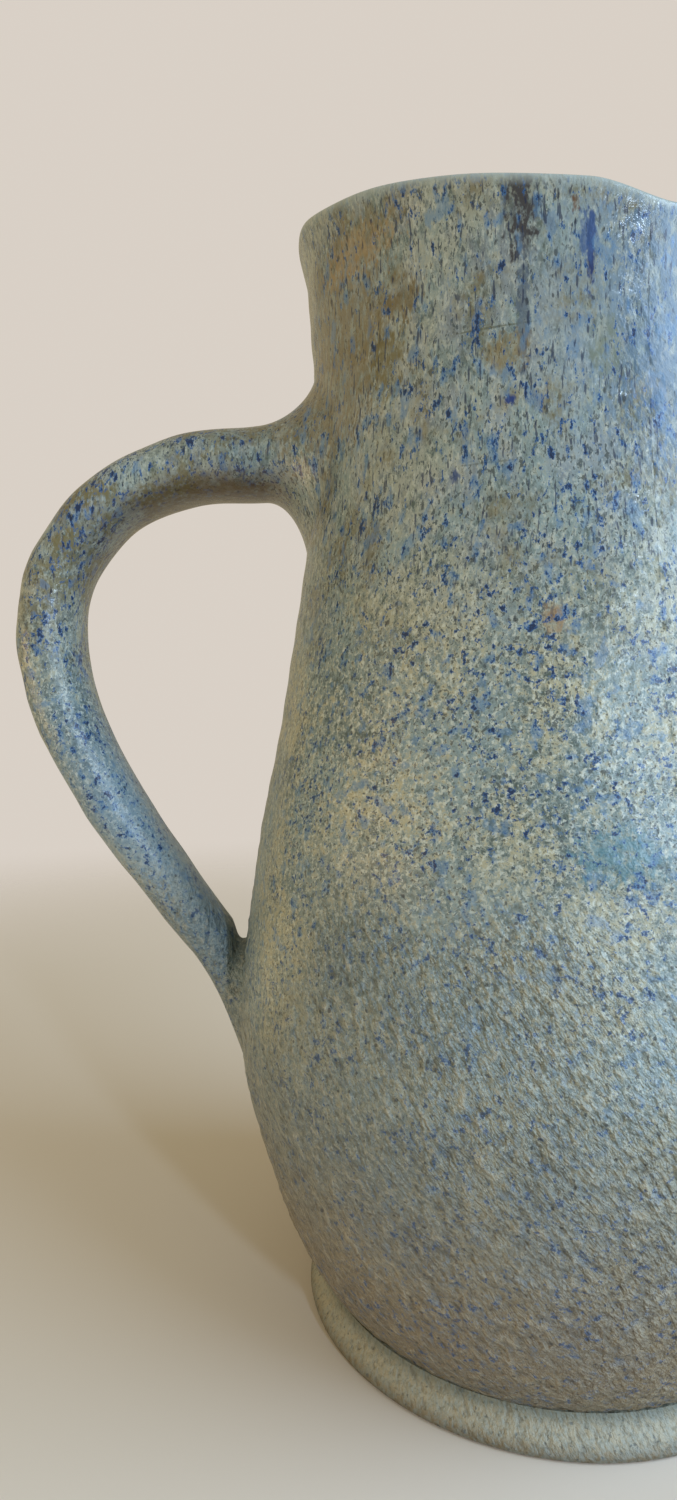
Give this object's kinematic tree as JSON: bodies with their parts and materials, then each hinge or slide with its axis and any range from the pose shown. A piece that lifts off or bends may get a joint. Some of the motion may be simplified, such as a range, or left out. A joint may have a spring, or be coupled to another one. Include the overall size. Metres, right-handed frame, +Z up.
{
  "type": "ceramic pitcher",
  "caption": "Tall glazed stoneware pitcher with a round belly, open neck, pulled strap handle, wide pouring lip and flared foot.",
  "frame": {"origin": "middle of the flat underside of the foot, on the axis of the thrown body", "axes": "+Z up along the axis of the thrown body, +X towards the spout, -X towards the handle"},
  "size_m": [0.1856, 0.1308, 0.2259],
  "materials": {
    "speckled_glaze": "glossy, speckled and streaked, drier and granular low on the belly",
    "dry_glaze": "satin, finely speckled"
  },
  "bodies": {
    "root": {"foot_ring": "dry_glaze", "body": "speckled_glaze", "spout": "speckled_glaze", "handle": "speckled_glaze", "upper_joint_coil": "speckled_glaze", "lower_joint_coil": "speckled_glaze"}
  },
  "joints": []
}
